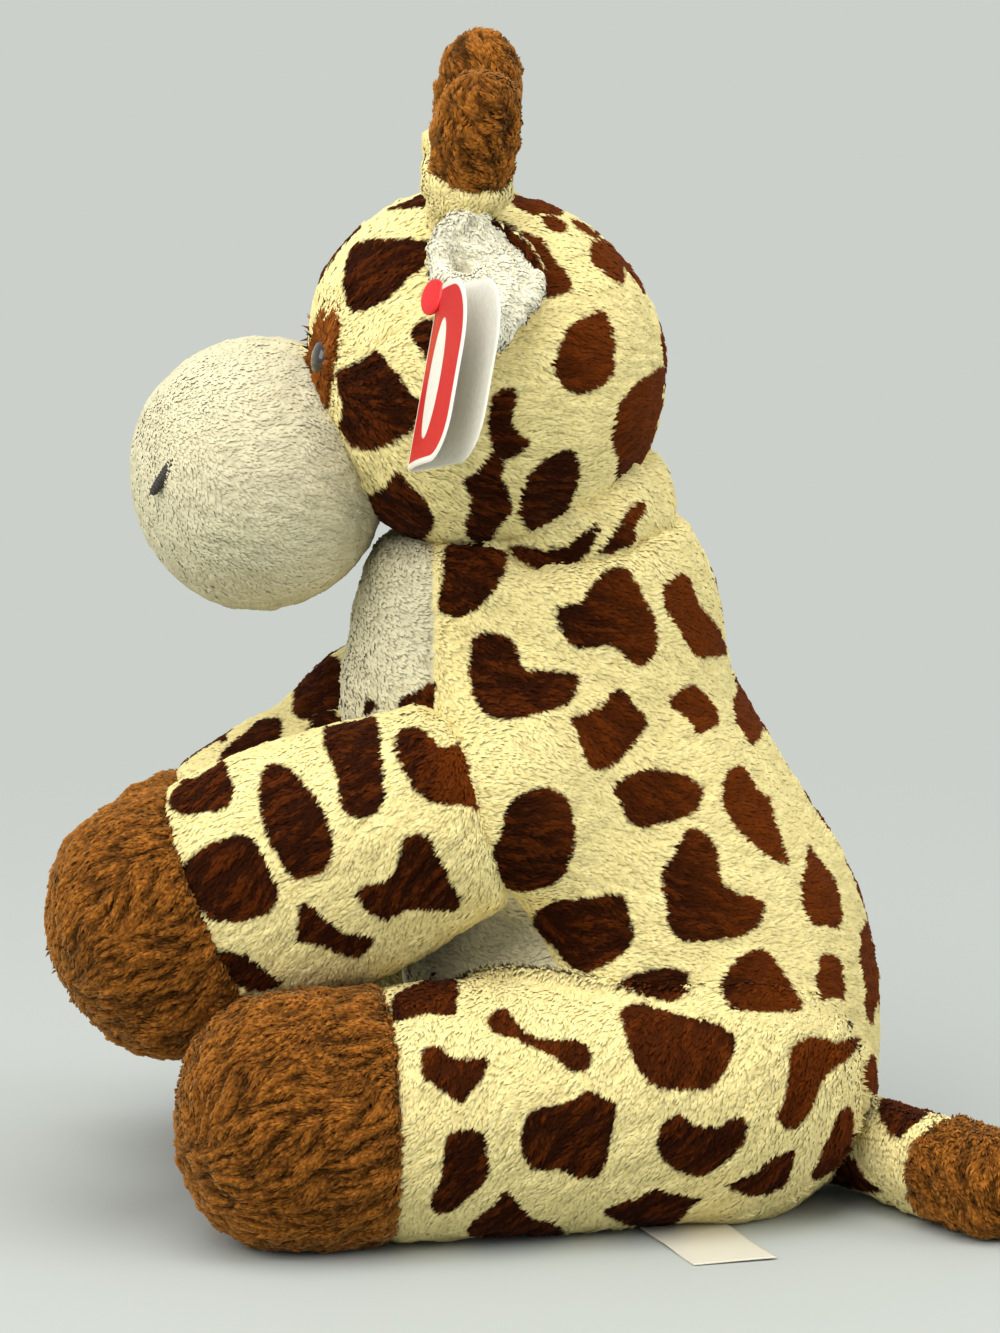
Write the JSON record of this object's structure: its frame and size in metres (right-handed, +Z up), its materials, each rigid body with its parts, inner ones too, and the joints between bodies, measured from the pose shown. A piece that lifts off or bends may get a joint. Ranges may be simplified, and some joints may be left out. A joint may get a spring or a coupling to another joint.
{
  "type": "plush giraffe",
  "caption": "Seated stuffed toy giraffe with spotted plush covers, brown hooves, soft horns and ears, and a turning head, limbs and tail.",
  "frame": {"origin": "middle of the flat seat that the toy sits on", "axes": "+Z up along the toy's height, -Y the way it faces, +X its left side"},
  "size_m": [0.1658, 0.2063, 0.2432],
  "materials": {
    "spotted_plush": "short clumpy pile, cream with brown spots",
    "brown_plush": "combed mid-brown pile",
    "pale_plush": "short off-white pile",
    "filling": "loose polyester fibre",
    "pellet_bag": "thin woven bag of pellets",
    "eye_plastic": "glossy moulded",
    "washer_plastic": "matt moulded",
    "black_thread": "embroidery thread",
    "red_pin_plastic": "glossy moulded",
    "red_card": "coated card",
    "pale_card": "coated card",
    "woven_label": "satin tape"
  },
  "bodies": {
    "torso": {"torso_cover": "spotted_plush", "belly_panel": "pale_plush", "torso_stuffing": "filling", "pellet_bag": "pellet_bag", "sewn_label": "woven_label"},
    "neck": {"neck_roll": "spotted_plush"},
    "head": {"head_cover": "spotted_plush", "head_stuffing": "filling", "muzzle_cover": "pale_plush", "muzzle_stuffing": "filling", "eye_left": "eye_plastic", "eye_right": "eye_plastic", "eye_washer_left": "washer_plastic", "eye_washer_right": "washer_plastic", "eye_patch_left": "brown_plush", "eye_patch_right": "brown_plush", "nostril_left": "black_thread", "nostril_right": "black_thread", "horn_stem_left": "spotted_plush", "horn_stem_right": "spotted_plush", "horn_tip_left": "brown_plush", "horn_tip_right": "brown_plush"},
    "ear_left": {"ear_back_left": "spotted_plush", "ear_lining_left": "pale_plush", "tag_pin": "red_pin_plastic"},
    "ear_right": {"ear_back_right": "spotted_plush", "ear_lining_right": "pale_plush"},
    "front_leg_left": {"front_leg_left_sleeve": "spotted_plush", "front_leg_left_hoof": "brown_plush", "front_leg_left_stuffing": "filling"},
    "front_leg_right": {"front_leg_right_sleeve": "spotted_plush", "front_leg_right_hoof": "brown_plush", "front_leg_right_stuffing": "filling"},
    "rear_leg_left": {"rear_leg_left_sleeve": "spotted_plush", "rear_leg_left_hoof": "brown_plush", "rear_leg_left_stuffing": "filling"},
    "rear_leg_right": {"rear_leg_right_sleeve": "spotted_plush", "rear_leg_right_hoof": "brown_plush", "rear_leg_right_stuffing": "filling"},
    "tail": {"tail_sleeve": "spotted_plush", "tail_tip": "brown_plush", "tail_stuffing": "filling"},
    "swing_tag": {"swing_tag_back": "pale_card"},
    "swing_tag_leaf": {"swing_tag_front": "red_card"}
  },
  "joints": [
    {"name": "head_turn", "type": "hinge", "parent": "torso", "child": "neck", "pos_m": [0, -0.0285, 0.128], "axis": [0, 0, 1], "range_deg": [-40, 40]},
    {"name": "head_nod", "type": "hinge", "parent": "neck", "child": "head", "pos_m": [0, -0.039, 0.1725], "axis": [-1, 0, 0], "range_deg": [0, 20]},
    {"name": "ear_left_lift", "type": "hinge", "parent": "head", "child": "ear_left", "pos_m": [0.02634, -0.04714, 0.20227], "axis": [0.4074, -0.8828, -0.2338], "range_deg": [0, 50]},
    {"name": "ear_right_lift", "type": "hinge", "parent": "head", "child": "ear_right", "pos_m": [-0.02634, -0.04714, 0.20227], "axis": [0.4074, 0.8828, 0.2338], "range_deg": [0, 50]},
    {"name": "front_leg_left_raise", "type": "hinge", "parent": "torso", "child": "front_leg_left", "pos_m": [0.0335, -0.042, 0.0886], "axis": [-1, 0, 0], "range_deg": [0, 22]},
    {"name": "front_leg_right_raise", "type": "hinge", "parent": "torso", "child": "front_leg_right", "pos_m": [-0.0335, -0.042, 0.0886], "axis": [-1, 0, 0], "range_deg": [0, 22]},
    {"name": "rear_leg_left_splay", "type": "hinge", "parent": "torso", "child": "rear_leg_left", "pos_m": [0.036, -0.005, 0.0262], "axis": [0, 0, 1], "range_deg": [0, 20]},
    {"name": "rear_leg_right_splay", "type": "hinge", "parent": "torso", "child": "rear_leg_right", "pos_m": [-0.036, -0.005, 0.0262], "axis": [0, 0, -1], "range_deg": [0, 20]},
    {"name": "tail_swing", "type": "hinge", "parent": "torso", "child": "tail", "pos_m": [0.002, 0.036, 0.0106], "axis": [0, 0, 1], "range_deg": [-12, 60]},
    {"name": "swing_tag_swing", "type": "hinge", "parent": "ear_left", "child": "swing_tag", "pos_m": [0.04315, -0.04574, 0.19418], "axis": [0.2924, -0.9563, 0], "range_deg": [0, 60]},
    {"name": "swing_tag_open", "type": "hinge", "parent": "swing_tag", "child": "swing_tag_leaf", "pos_m": [0.04093, -0.05341, 0.1931], "axis": [-0.2313, -0.0707, 0.9703], "range_deg": [-10, 6], "stiffness_Nm_per_rad": 0.001}
  ]
}
